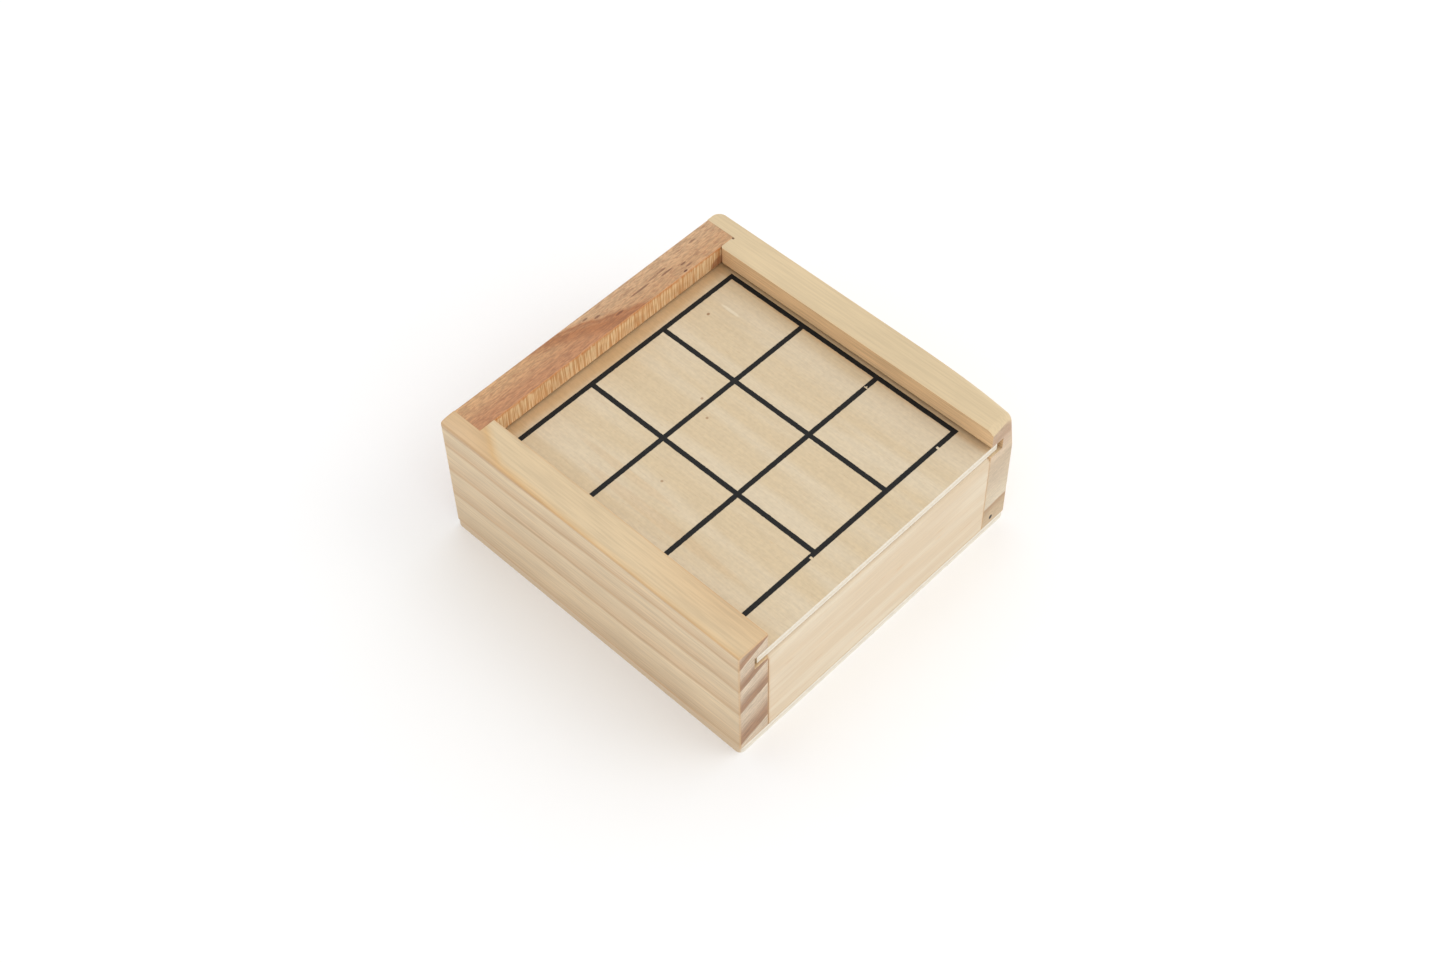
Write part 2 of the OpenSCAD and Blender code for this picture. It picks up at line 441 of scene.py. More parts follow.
# How far the patch's rim lies from the left edge, as shares of RIM_UNIT, for places along the length
rim = left_pine.ramp(y, [
    (0.0, 0.0), (55.0, 0.0), (72.0, 0.06), (87.0, 0.1), (98.0, 0.13), (102.5, 0.3), (109.7, 0.72),
    (116.0, 1.0)])
from_rim = left_pine.maths("SUBTRACT", x, left_pine.maths("MULTIPLY", rim, RIM_UNIT))
top_colour = left_pine.ramp(left_pine.maths("ADD", from_rim, ripple), [
    (-9.0, paint(216, 184, 144)), (-2.0, paint(212, 178, 134)), (-0.4, paint(216, 178, 127)),
    (1.0, paint(220, 191, 148)), (2.4, paint(220, 196, 158)), (12.0, paint(219, 194, 155))])
patch = left_pine.mix(0.35, top_colour, left_pine.mix(end_rings, top_colour, TOP_PATCH))
top_colour = left_pine.mix(left_pine.step(y, 60.0, 20.0), top_colour, patch)
facing = left_pine.facing()
wood = left_pine.mix(left_pine.step(facing[1], 0.7, 0.95), side_colour, end_colour)
wood = left_pine.mix(left_pine.step(facing[2], 0.3, 0.9), wood, top_colour)
fibres = left_pine.cloud((0.6, 14, 0.6), 3.0)
wood = left_pine.tint(wood, fibres, 0.92, 1.05)
wood = left_pine.tint(wood, left_pine.cloud((7, 30, 5), 2.0, (3, 1, 7)), 0.95, 1.04)
# Painted warm light: a brown along the edges stands in for light on their rounding.
edge = left_pine.step(left_pine.edge_distance(left_low, left_high), 0.9, 0.1, 0.0, 0.35)
wood = left_pine.mix(edge, wood, LEFT_EDGE_PAINTED_LIGHT)
left_pine_material = left_pine.finish(wood, fibres, (0.52, 0.68))

# %% [markdown]
# ## The same tree, another board
# The right wall is a calmer board, whose rings lie nearly level. Its end shows where each ring starts, so
# here every ring gets its own two colours, one for the end and one for the sides, instead of one rule for
# all. Painted shade fills a nail hole and the gap at the back where the rebate meets the back wall: both
# are single spots, mixed in last. A brown along the edges is painted warm light. The inner face is rubbed
# darker by the lid.

# %% Right wall: nearly level rings
RUBBED_BY_LID = paint(236, 199, 153)
RIGHT_EDGE_PAINTED_LIGHT = paint(214, 176, 126)
NAIL_HOLE_PAINTED_SHADE = paint(34, 26, 22)
REBATE_GAP_PAINTED_SHADE = paint(120, 84, 56)
right_pine = Recipe("right wall pine")
corner = Vector((right_low.x, right_low.y, 0)) / MM
from_corner = right_pine.vector("SUBTRACT", right_pine.place, corner).outputs[0]
wander = right_pine.centred(right_pine.cloud((14, 80, 12), 1.0), 1.2)
ruler = right_pine.maths("ADD", right_pine.along(from_corner, (-0.09, 0.01, 1.0)), wander)
end_colour = right_pine.ramp(ruler, [
    (2.0, paint(208, 184, 152)), (8.5, paint(200, 174, 140)), (11.6, paint(182, 148, 114)),
    (12.5, paint(222, 206, 180)), (19.0, paint(218, 200, 172)), (23.0, paint(210, 190, 163)),
    (34.5, paint(204, 182, 154)), (36.4, paint(219, 196, 168)), (43.0, paint(208, 180, 152)),
    (45.0, paint(188, 156, 128)), (50.0, paint(200, 174, 146))])
end_colour = right_pine.tint(end_colour, right_pine.cloud((3.0, 30, 0.5), 2.0, (1, 8, 3)), 0.90, 1.06)
side_colour = right_pine.ramp(ruler, [
    (2.0, paint(222, 196, 158)), (12.2, paint(212, 180, 140)), (12.9, paint(228, 206, 170)),
    (24.0, paint(222, 197, 160)), (36.0, paint(214, 186, 148)), (36.9, paint(226, 201, 164)),
    (43.0, paint(218, 190, 150)), (48.0, paint(220, 197, 158))])
rubbed = right_pine.tint(RUBBED_BY_LID, right_pine.cloud((0.5, 25, 0.4), 3.0, (6, 2, 6)), 0.82, 1.08)
side_colour = right_pine.mix(right_pine.towards((-1, 0, 0), 0.6, 1.0), side_colour, rubbed)
wood = right_pine.mix(right_pine.step(right_pine.facing()[1], 0.7, 0.95), side_colour, end_colour)
fibres = right_pine.cloud((0.6, 16, 0.6), 3.0)
wood = right_pine.tint(wood, fibres, 0.93, 1.04)
wood = right_pine.tint(wood, right_pine.cloud((10, 50, 10), 2.0, (5, 2, 1)), 0.96, 1.03)
# Painted warm light: a brown along the edges stands in for light on their rounding.
edge = right_pine.step(right_pine.edge_distance(right_low, right_high), 0.9, 0.1, 0.0, 0.2)
wood = right_pine.mix(edge, wood, RIGHT_EDGE_PAINTED_LIGHT)
# Painted shade in a nail hole on the front end, where no hole is cut.
nail_hole = Vector((53.0, right_low.y / MM, 5.8))
wood = right_pine.mix(right_pine.spot(nail_hole, (0.8, 3.0, 1.0)), wood, NAIL_HOLE_PAINTED_SHADE)
# Painted shade in the gap at the back, where the rebate meets the back wall.
rebate_gap_corner = Vector((54.5, 50.0, wall_top / MM))
wood = right_pine.mix(right_pine.spot(rebate_gap_corner, (0.45, 0.5, 2.0)), wood, REBATE_GAP_PAINTED_SHADE)
right_pine_material = right_pine.finish(wood, fibres, (0.52, 0.68))

# %% [markdown]
# ## A redder board at the back
# The back wall comes from nearer the heart of its tree. A dark streak crosses its top at a slant. On its
# left the wood is red-brown and paler towards the back edge, and on its right it is tan, with short
# dashes of dark resin. Noise alone would put the dashes anywhere, so each of them is a spot with its own
# place, and only the fibres and pores are noise.

# %% Back wall: the streak and the resin dashes on its top
HEART_RED = (paint(208, 164, 119), paint(191, 137, 97))         # at the outer edge, at the inner edge
OUTER_TAN = (paint(206, 167, 128), paint(200, 156, 114))
STREAK_BROWN = paint(170, 110, 68)
PORE_BROWN = paint(158, 100, 68)
RESIN_DARK = paint(96, 50, 34)
STREAK_PLACE = 57.2
RESIN_DASHES = [        # middle along X and along Y, length, strength
    (15.3, 58.0, 5.0, 0.35), (18.2, 55.8, 8.0, 0.55), (25.0, 56.6, 4.3, 0.40), (28.7, 56.8, 4.0, 0.50),
    (29.6, 55.2, 4.8, 0.65), (35.8, 54.0, 2.3, 0.70), (34.1, 51.2, 1.6, 0.90), (37.0, 52.4, 2.8, 0.50),
    (41.7, 54.0, 2.9, 0.35), (37.8, 59.1, 3.0, 0.30), (-1.9, 59.5, 2.2, 0.60), (1.4, 57.5, 2.4, 0.60),
    (7.3, 53.6, 3.2, 0.60), (44.7, 58.8, 3.1, 0.50)]
back_pine = Recipe("back wall pine")
y, z = back_pine.xyz(back_pine.place)[1:]
below_top = back_pine.maths("SUBTRACT", wall_top / MM, z)
wander = back_pine.centred(back_pine.cloud((9, 3, 3), 3.0), 3.5)
heart = back_pine.maths("SUBTRACT", back_pine.along(back_pine.place, (0.42, 1.0, 0.0)), STREAK_PLACE)
heart = back_pine.maths("ADD", heart, wander)
heart = back_pine.maths("ADD", heart, back_pine.maths("MULTIPLY", below_top, 2.0))
inner_side = back_pine.step(y, 61.0, 52.0)
red_side = back_pine.mix(inner_side, *HEART_RED)
tan_side = back_pine.mix(inner_side, *OUTER_TAN)
streak = back_pine.ramp(heart, [
    (-12.0, 0.0), (-7.0, 0.2), (-4.2, 0.85), (-2.4, 1.0), (-1.4, 0.7), (-0.5, 1.0), (0.2, 0.4), (1.6, 0.0)])
wood = back_pine.mix(back_pine.step(heart, -1.0, 1.0), red_side, tan_side)
wood = back_pine.lay_colour(wood, streak, 0.9, STREAK_BROWN)
fibres = back_pine.cloud((2.6, 0.5, 0.5), 4.0)
pores = back_pine.step(back_pine.cloud((1.5, 0.45, 0.45), 1.0, (4, 9, 2)), 0.5, 0.72)
wood = back_pine.tint(wood, fibres, 0.78, 1.16)
wood = back_pine.lay_colour(wood, pores, 0.4, PORE_BROWN)
for dash_x, dash_y, length, strength in RESIN_DASHES:
    dash = back_pine.spot(Vector((dash_x, dash_y, wall_top / MM)), (0.55 * length, 0.38, 3.0))
    wood = back_pine.lay_colour(wood, dash, strength, RESIN_DARK)
print("the back wall has", len(RESIN_DASHES), "resin dashes")

# %% [markdown]
# ## The two broad faces of the back wall
# The outer face is planed, with long quiet fibres. The inner face still shows the upright marks of the saw,
# a torn brown line along its top edge, and painted shade in its corner at the right wall. They could be two
# more materials, but then the rounded edges between them would show a seam. One material asks which way a
# face looks, and mixes in the look of that face.

# %% Back wall: its planed face and its sawn face
PLANED_BANDS = (paint(209, 168, 125), paint(193, 146, 105))
SAWN_BANDS = (paint(241, 210, 163), paint(210, 154, 100))
TORN_EDGE_BROWN = paint(206, 134, 76)
CORNER_PAINTED_SHADE = paint(150, 84, 48)
bands = back_pine.step(back_pine.cloud((70, 8, 3.5), 2.0, (3, 3, 7)), 0.38, 0.62)
planed = back_pine.mix(bands, *PLANED_BANDS)
planed = back_pine.tint(planed, back_pine.cloud((22, 0.6, 0.6), 3.0, (5, 5, 5)), 0.88, 1.07)
wood = back_pine.mix(back_pine.towards((0, 1, 0), 0.5, 0.9), wood, planed)
saw_marks = back_pine.step(back_pine.cloud((0.36, 30, 9), 2.0), 0.36, 0.62)
sawn = back_pine.mix(saw_marks, *SAWN_BANDS)
sawn = back_pine.tint(sawn, back_pine.cloud((9, 30, 3), 2.0, (2, 2, 5)), 0.93, 1.05)
torn = back_pine.centred(back_pine.cloud((1.6, 30, 1.2), 2.0, (6, 1, 3)), 2.6)
torn = back_pine.step(back_pine.maths("ADD", torn, below_top), 1.5, 0.3, 0.0, 0.75)
sawn = back_pine.mix(torn, sawn, TORN_EDGE_BROWN)
# Painted shade in the corner where the inner face meets the right wall.
painted_corner_shade = back_pine.spot(Vector((48.6, back_low.y / MM, 43.6)), (4.5, 3.0, 3.2))
sawn = back_pine.lay_colour(sawn, painted_corner_shade, 0.65, CORNER_PAINTED_SHADE)
wood = back_pine.mix(back_pine.towards((0, -1, 0), 0.5, 0.9), wood, sawn)
back_pine_material = back_pine.finish(wood, fibres, (0.55, 0.72))

# %% [markdown]
# ## A quiet board at the front
# The front wall is the palest board, and its broad bands hardly show. Its edges are a little browner:
# painted warm light on their rounding. The brown could be painted by hand, but the distance to the nearest
# edge can also decide how much brown is mixed in, and that follows every edge by itself.

# %% Front wall: pale and quiet
FRONT_BANDS = (paint(229, 213, 187), paint(223, 202, 172))
RUB_BROWN = paint(214, 172, 122)
FRONT_EDGE_PAINTED_LIGHT = paint(206, 158, 104)
front_pine = Recipe("front wall pine")
fibres = front_pine.cloud((16, 0.6, 0.6), 3.0)
bands = front_pine.step(front_pine.cloud((60, 5, 4), 2.0, (2, 5, 3)), 0.35, 0.65)
wood = front_pine.tint(front_pine.mix(bands, *FRONT_BANDS), fibres, 0.95, 1.03)
rub = front_pine.step(front_pine.cloud((12, 3, 1.5), 2.0, (4, 4, 8)), 0.64, 0.76, 0.0, 0.3)
wood = front_pine.mix(rub, wood, RUB_BROWN)
# Painted warm light: a brown along the edges stands in for light on their rounding.
edge = front_pine.step(front_pine.edge_distance(front_low, front_high), 0.8, 0.1, 0.0, 0.45)
wood = front_pine.mix(edge, wood, FRONT_EDGE_PAINTED_LIGHT)
front_pine_material = front_pine.finish(wood, fibres, (0.52, 0.66))

# %% [markdown]
# ## Plywood
# The lid and the base are thin veneers glued across each other. Their faces show long quiet fibres with
# fine flecks, and their cut edges show the layers as stripes: the outer veneers pale, the middle one
# darker, being end grain. The veneers could be three thin pieces, but a ramp over the height gives the same
# stripes and leaves no gaps between them.

# %% Lid plywood and base plywood
FLECK_BROWN = paint(190, 146, 96)
GLUE_LINE = 0.1         # how softly one veneer goes over into the next, in mm to either side


def plywood(name, low, high, grain_size, face_colours, edge_colours, side_edge, marks=()):
    """Three veneers. The edges that look along X show long grain, and the marks are spots on the faces."""
    ply = Recipe(name)
    fibres = ply.cloud(grain_size, 3.0)
    flecks = ply.cloud(tuple(side * 0.45 for side in grain_size), 2.0, (7, 3, 5))
    slow = ply.cloud(tuple(side * 16 for side in grain_size), 2.0, (1, 6, 2))
    face = ply.mix(ply.step(slow, 0.35, 0.65), *face_colours)
    for centre, reach, colour, strength in marks:
        face = ply.lay_colour(face, ply.spot(Vector(centre), reach), strength, colour)
    face = ply.tint(face, fibres, 0.95, 1.03)
    face = ply.tint(face, ply.cloud((1.1, 1.4, 1.1), 3.0, (5, 5, 2)), 0.965, 1.03)
    face = ply.mix(ply.step(flecks, 0.62, 0.75, 0.0, 0.25), face, FLECK_BROWN)
    bottom, top = low.z / MM, high.z / MM
    first_glue = bottom + (top - bottom) / 3
    second_glue = top - (top - bottom) / 3
    middle = ply.ramp(ply.along(ply.place, (0, 0, 1)), [
        (bottom, 0.0), (first_glue - GLUE_LINE, 0.0), (first_glue + GLUE_LINE, 1.0),
        (second_glue - GLUE_LINE, 1.0), (second_glue + GLUE_LINE, 0.0), (top, 0.0)])
    end_grain = ply.maths("MULTIPLY", middle, ply.cloud((5, 5, 2), 2.0))
    layers = ply.tint(ply.mix(end_grain, *edge_colours), ply.cloud((1.2, 1.2, 0.3), 2.0), 0.93, 1.05)
    facing = ply.facing()
    layers = ply.mix(ply.step(facing[0], 0.5, 0.85, 0.0, 0.85), layers, side_edge)
    wood = ply.mix(ply.step(facing[2], 0.4, 0.8), layers, face)
    return ply.finish(wood, fibres, (0.5, 0.64), bump=0.08)


ORANGE_STREAKS_AND_PAINTED_WARM_SHADE = paint(206, 166, 115)
PALE_SCRATCH = paint(240, 230, 208)
DARK_SPECK = paint(150, 104, 64)
LID_TOP = lid_high.z / MM
LID_MARKS = [       # middle, reach, colour and strength
    # painted warm shade and reflection along the back wall
    ((0.0, 55.5, LID_TOP), (90.0, 11.0, 3.0), ORANGE_STREAKS_AND_PAINTED_WARM_SHADE, 0.75),
    # painted warm shade and reflection next to the right wall
    ((50.5, 0.0, LID_TOP), (5.0, 90.0, 3.0), ORANGE_STREAKS_AND_PAINTED_WARM_SHADE, 0.6),
    ((-37.0, -8.0, LID_TOP), (2.2, 34.0, 3.0), ORANGE_STREAKS_AND_PAINTED_WARM_SHADE, 0.22),
    ((-31.0, 12.0, LID_TOP), (1.6, 22.0, 3.0), ORANGE_STREAKS_AND_PAINTED_WARM_SHADE, 0.18),
    ((36.8, 34.3, LID_TOP), (0.6, 4.2, 3.0), PALE_SCRATCH, 0.4),
    ((31.0, 38.5, LID_TOP), (0.6, 0.5, 3.0), DARK_SPECK, 0.8),
    ((0.3, 9.3, LID_TOP), (0.5, 0.5, 3.0), DARK_SPECK, 0.6),
    ((4.8, 15.8, LID_TOP), (0.5, 0.5, 3.0), DARK_SPECK, 0.6),
    ((-26.2, 2.2, LID_TOP), (0.5, 0.5, 3.0), DARK_SPECK, 0.6)]
lid_plywood = plywood(
    "lid plywood", lid_low, lid_high, (0.55, 6, 0.55), (paint(222, 204, 174), paint(217, 195, 159)),
    (paint(236, 228, 212), paint(222, 206, 182)), paint(222, 202, 168), LID_MARKS)
base_plywood = plywood(
    "base plywood", base_low, base_high, (9, 0.55, 0.55), (paint(222, 203, 172), paint(216, 194, 160)),
    (paint(238, 231, 216), paint(222, 208, 188)), paint(212, 184, 148))

# %% [markdown]
# ## Beech for the cubes
# The nine cubes are cut from one bar and tumbled, so each of them lies with its grain another way. Nine
# materials could show that, but one is enough when the cube's mesh carries it: a named value on every
# corner says where the corner lies in the tree that the cube came from.

# %% Cube beech
RING_WIDTH = 4.2
BEECH_COLOURS = (paint(222, 188, 146), paint(196, 150, 106))
BEECH_FLECK = paint(160, 110, 74)
BEECH_END = paint(170, 122, 82)
beech = Recipe("cube beech")
beech.place = beech.add("ShaderNodeAttribute", attribute_name="tree").outputs["Vector"]
end_face = beech.add("ShaderNodeAttribute", attribute_name="end_face").outputs["Fac"]
ring_warp = beech.maths("MULTIPLY", beech.cloud((12, 12, 60), 1.0), 5.0)
ring_place = beech.maths("ADD", beech.along(beech.place, (0.8, 0.6, 0.02)), ring_warp)
ring_wave = beech.maths("FRACT", beech.maths("DIVIDE", ring_place, RING_WIDTH), 0.0)
rings = beech.ramp(ring_wave, [(0.0, 0.9), (0.18, 0.35), (0.6, 0.1), (0.94, 0.0), (1.0, 0.9)])
fibres = beech.cloud((0.5, 0.5, 12), 3.0)
flecks = beech.step(beech.cloud((0.3, 0.5, 2.4), 2.0, (8, 4, 1)), 0.6, 0.68, 0.0, 0.4)
wood = beech.tint(beech.mix(rings, *BEECH_COLOURS), fibres, 0.93, 1.04)
wood = beech.mix(flecks, wood, BEECH_FLECK)
wood = beech.lay_colour(wood, end_face, 0.3, BEECH_END)
cube_beech = beech.finish(wood, fibres, (0.5, 0.62), bump=0.08)

# %% [markdown]
# ## Ink and steel
# Printing ink is black and hardly shines, and it isn't quite even, because it sinks into the wood. The
# brads are drawn steel wire with fine scratches. Both use the same recipe as the wood, with a quieter
# noise. What is the same all over, such as how metallic the steel is, is set on the shader itself.

# %% Grid ink and brad steel
INK_COLOURS = (paint(24, 24, 24), paint(38, 37, 36))
STEEL_COLOURS = (paint(168, 168, 170), paint(132, 130, 128))
QUIET_GRAIN = (0.3, 0.7)
ink = Recipe("grid ink")
ink_grain = ink.cloud((0.7, 1.6, 0.7), 3.0)
ink_colour = ink.mix(ink.step(ink_grain, 0.35, 0.75), *INK_COLOURS)
ink.shader.inputs["Specular IOR Level"].default_value = 0.2
grid_ink = ink.finish(ink_colour, ink_grain, (0.5, 0.66), 0.05, QUIET_GRAIN)

steel = Recipe("brad steel")
scratches = steel.cloud((0.3, 0.9, 0.3), 3.0)
steel_colour = steel.mix(steel.step(scratches, 0.35, 0.7), *STEEL_COLOURS)
steel.shader.inputs["Metallic"].default_value = 1.0
brad_steel = steel.finish(steel_colour, scratches, (0.32, 0.5), 0.05, QUIET_GRAIN)

# %% [markdown]
# ## Names for the finishes
# Each finish gets the name of the slot that it goes into, so that a piece can ask for it by that name.

# %% List the finishes
materials = {
    "left_wall_pine": left_pine_material, "right_wall_pine": right_pine_material,
    "back_wall_pine": back_pine_material, "front_wall_pine": front_pine_material,
    "base_plywood": base_plywood, "lid_plywood": lid_plywood,
    "cube_beech": cube_beech, "grid_ink": grid_ink, "brad_steel": brad_steel,
}
print("materials:", ", ".join(materials))

# %% [markdown]
# ## Tools for shaping boards
# A board with a groove could be cut with a boolean, but a boolean leaves ragged faces that don't bevel
# well. It is cleaner to work as a plane does: draw the board's end as a flat sheet, split it along the
# groove's lines, take the groove's cells out, and push the rest of the sheet along the board's length.

# %% Helpers for sheets and pushes
CUT_TOLERANCE = 1e-7
SAME_PLACE = 0.001 * MM
SAME_PLANE = math.radians(1)


def everything(bm):
    return bm.verts[:] + bm.edges[:] + bm.faces[:]


def split(bm, place, way):
    """Splits everything along a plane, without removing anything."""
    bmesh.ops.bisect_plane(bm, geom=everything(bm), dist=CUT_TOLERANCE, plane_co=place, plane_no=way)


def end_sheet(low, high, long_axis, cuts_across=(), cuts_z=()):
    """A flat sheet at a board's low end, split along upright and level lines, for a board along X or Y."""
    bm = bmesh.new()
    bmesh.ops.create_grid(bm, x_segments=1, y_segments=1, size=0.5)
    turn_axis, across = ("X", Vector((1, 0, 0))) if long_axis == "Y" else ("Y", Vector((0, 1, 0)))
    bmesh.ops.rotate(bm, verts=bm.verts, matrix=Matrix.Rotation(math.radians(90), 3, turn_axis))
    bmesh.ops.scale(bm, verts=bm.verts, vec=high - low)
    bmesh.ops.translate(bm, verts=bm.verts, vec=(low + high) / 2)
    for vert in bm.verts:
        if long_axis == "Y":
            vert.co.y = low.y
        else:
            vert.co.x = low.x
    for cut in cuts_across:
        split(bm, across * cut, across)
    for cut in cuts_z:
        split(bm, Vector((0, 0, cut)), Vector((0, 0, 1)))
    return bm


def take_out(bm, inside):
    """Deletes the faces whose centre passes a test."""
    gone = [face for face in bm.faces if inside(face.calc_center_median())]
    bmesh.ops.delete(bm, geom=gone, context="FACES")


def push(bm, faces, offset, keep_first=True):
    """Extrudes some faces, moves them, and returns the moved ones. The first ones may stay as an end."""
    made = bmesh.ops.extrude_face_region(bm, geom=faces)["geom"]
    if not keep_first:
        bmesh.ops.delete(bm, geom=[face for face in faces if face.is_valid], context="FACES")
    bmesh.ops.translate(bm, verts=[g for g in made if isinstance(g, bmesh.types.BMVert)], vec=offset)
    return [g for g in made if isinstance(g, bmesh.types.BMFace)]


def join_flats(bm):
    """Joins faces that lie in one plane and turns every face outwards."""
    bmesh.ops.remove_doubles(bm, verts=bm.verts, dist=SAME_PLACE)
    bmesh.ops.dissolve_limit(bm, angle_limit=SAME_PLANE, verts=bm.verts, edges=bm.edges)
    bmesh.ops.recalc_face_normals(bm, faces=bm.faces)
    bm.normal_update()


print("sheet helpers ready")

# %% [markdown]
# ## Eased edges
# Nothing on a sanded box is truly sharp, and a real edge catches light. A Bevel modifier would give all
# edges one radius. Here a test picks the edges, so that the few that hands and sandpaper have worn further
# get a larger radius first, and all others a small one.

# %% Helpers for edges
SHARPEST_KEPT = math.radians(50)        # a flatter edge is already part of a rounding
CORNER_ANGLES = [math.radians(angle) for angle in range(6, 90, 7)]


def near(value, target, reach=0.05 * MM):
    return abs(value - target) < reach


def ease(bm, radius, segments, wanted=lambda middle, way: True):
    """Rounds the outward edges that pass a test on their middle point and their direction."""
    bm.normal_update()
    edges = []
    for edge in bm.edges:
        if not edge.is_manifold or not edge.is_convex or edge.calc_face_angle(0.0) < SHARPEST_KEPT:
            continue
        first, second = (vert.co for vert in edge.verts)
        if wanted((first + second) / 2, (second - first).normalized()):
            edges.append(edge)
    bmesh.ops.bevel(bm, geom=edges, offset=radius, offset_type="OFFSET", affect="EDGES",
                    segments=segments, profile=0.5, material=-1, clamp_overlap=True)


def wear_corner(bm, corner, signs, radius):
    """Planes a corner down with small flat cuts that all touch one ball, as sandpaper does."""
    middle = corner - Vector(signs) * radius
    for up in CORNER_ANGLES:
        for side in CORNER_ANGLES:
            way = Vector((math.cos(up) * math.cos(side), math.cos(up) * math.sin(side), math.sin(up)))
            way = Vector(w * sign for w, sign in zip(way, signs))
            cut = bmesh.ops.bisect_plane(bm, geom=everything(bm), dist=CUT_TOLERANCE,
                                         plane_co=middle + way * radius, plane_no=way, clear_outer=True)
            rim = [g for g in cut["geom_cut"] if isinstance(g, bmesh.types.BMEdge)]
            bmesh.ops.holes_fill(bm, edges=rim)
    bmesh.ops.recalc_face_normals(bm, faces=bm.faces)


print("edge helpers ready")

# %% [markdown]
# ## Handing a shape over
# A finished mesh becomes an object that rides on its CAD body and stands for its CAD node. The weighted
# normals keep the large faces looking flat right up to their rounded edges, instead of shading them like
# a pillow.

# %% Helper for finished pieces
SHARP_FROM = math.radians(35)


def finished(name, bm, body, node, slot):
    """Makes the mesh an object that rides on its body, wears its finish and stands for its CAD node."""
    bmesh.ops.recalc_face_normals(bm, faces=bm.faces)
    bm.normal_update()
    closed = all(edge.is_manifold for edge in bm.edges)
    for edge in bm.edges:
        edge.smooth = edge.calc_face_angle(0.0) < SHARP_FROM
    mesh = bpy.data.meshes.new(name)
    bm.to_mesh(mesh)
    bm.free()
    mesh.polygons.foreach_set("use_smooth", [True] * len(mesh.polygons))
    mesh.materials.append(materials[slot])
    piece = bpy.data.objects.new(name, mesh)
    bpy.context.scene.collection.objects.link(piece)
    weighted = piece.modifiers.new("flat faces stay flat", "WEIGHTED_NORMAL")
    weighted.mode = "FACE_AREA"
    weighted.keep_sharp = True
    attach(piece, body)
    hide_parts(node)
    print(name, "has", len(mesh.polygons), "faces and is", "closed" if closed else "open")


print("edges from", round(math.degrees(SHARP_FROM)), "degrees on stay sharp in the shading")

# %% [markdown]
# ## The left side wall
# Each side wall is one board over the whole depth of the box. The lid's groove runs along its inner face,
# and at the back a rebate takes the end of the back wall, so that only a thin tongue of the side wall
# shows outside it. The end sheet is pushed as a whole up to the rebate, and from there on only its outer
# strip is pushed further. Its edges are nearly sharp, apart from the back corner and the long top edge.

# %% Shape the left wall
def side_wall(low, high, inner_x, inward):
    """inward is +1 for the left wall, whose inner face looks to the right, and -1 for the right wall."""
    groove_x = inner_x - inward * GROOVE_DEPTH
    rebate_x = inner_x - inward * REBATE_DEPTH
    bm = end_sheet(low, high, "Y", (groove_x, rebate_x), (groove_floor, groove_top))
    take_out(bm, lambda c: groove_floor < c.z < groove_top and (c.x - groove_x) * inward > 0)
    whole = push(bm, bm.faces[:], (0, back_low.y - low.y, 0))
    outer = [face for face in whole if (face.calc_center_median().x - rebate_x) * inward < 0]
    push(bm, outer, (0, high.y - back_low.y, 0), keep_first=False)
    join_flats(bm)
    return bm


def upright_at(x, y):
    return lambda middle, way: near(middle.x, x) and near(middle.y, y) and abs(way.z) > 0.9


FINE_EDGE = 0.15 * MM
SOFT_EDGE = 0.5 * MM
WORN_EDGE = 0.9 * MM
LEFT_INNER_EDGE = 0.3 * MM
BACK_LEFT_RADIUS = 1.2 * MM
above_base = left_low.z + 1 * MM        # the edges that meet the base stay nearly sharp
left_bm = side_wall(left_low, left_high, left_high.x, 1)
ease(left_bm, BACK_LEFT_RADIUS, 6, upright_at(left_low.x, left_high.y))
ease(left_bm, WORN_EDGE, 5, lambda m, way: near(m.z, wall_top) and near(m.x, left_low.x, 1.5 * MM))
ease(left_bm, SOFT_EDGE, 4, lambda m, way: m.z > above_base and near(m.y, left_low.y))
ease(left_bm, SOFT_EDGE, 4, lambda m, way: m.z > above_base and near(m.x, left_low.x))
ease(left_bm, LEFT_INNER_EDGE, 3, lambda m, way: near(m.x, left_high.x) and m.z > groove_top)
ease(left_bm, FINE_EDGE, 2)
finished("left_wall_board", left_bm, "box", "left_side_wall", "left_wall_pine")

# %% [markdown]
# ## The right side wall
# The right wall has the same groove and rebate the other way round, and it has been sanded far more. Its
# back corner and its inner top edge are well rounded. The top corner at its front is worn to a ball, which
# a bevel can't make where three edges of different radii meet, so that corner is planed down last.

# %% Shape the right wall
BACK_RIGHT_RADIUS = 3.0 * MM
FRONT_RIGHT_RADIUS = 1.0 * MM
SHOULDER_RADIUS = 1.0 * MM      # where the back wall goes into the rebate
RIGHT_INNER_RADIUS = 1.8 * MM
RIGHT_OUTER_EDGE = 0.6 * MM
WORN_CORNER_RADIUS = 3.8 * MM
right_bm = side_wall(right_low, right_high, right_low.x, -1)
ease(right_bm, BACK_RIGHT_RADIUS, 8, upright_at(right_high.x, right_high.y))
ease(right_bm, FRONT_RIGHT_RADIUS, 5, upright_at(right_high.x, right_low.y))
ease(right_bm, SHOULDER_RADIUS, 5, upright_at(right_low.x, back_low.y))
ease(right_bm, RIGHT_INNER_RADIUS, 6, lambda m, way: near(m.x, right_low.x) and near(m.z, wall_top))
ease(right_bm, WORN_EDGE, 5, lambda m, way: near(m.x, right_low.x) and m.z > groove_top)
ease(right_bm, WORN_EDGE, 5, lambda m, way: near(m.z, wall_top) and near(m.y, right_low.y, 2 * MM))
ease(right_bm, RIGHT_OUTER_EDGE, 4, lambda m, way: near(m.x, right_high.x, 3 * MM) and near(m.z, wall_top))
ease(right_bm, SOFT_EDGE, 4, lambda m, way: m.z > above_base and near(m.y, right_low.y))
ease(right_bm, FINE_EDGE, 2)
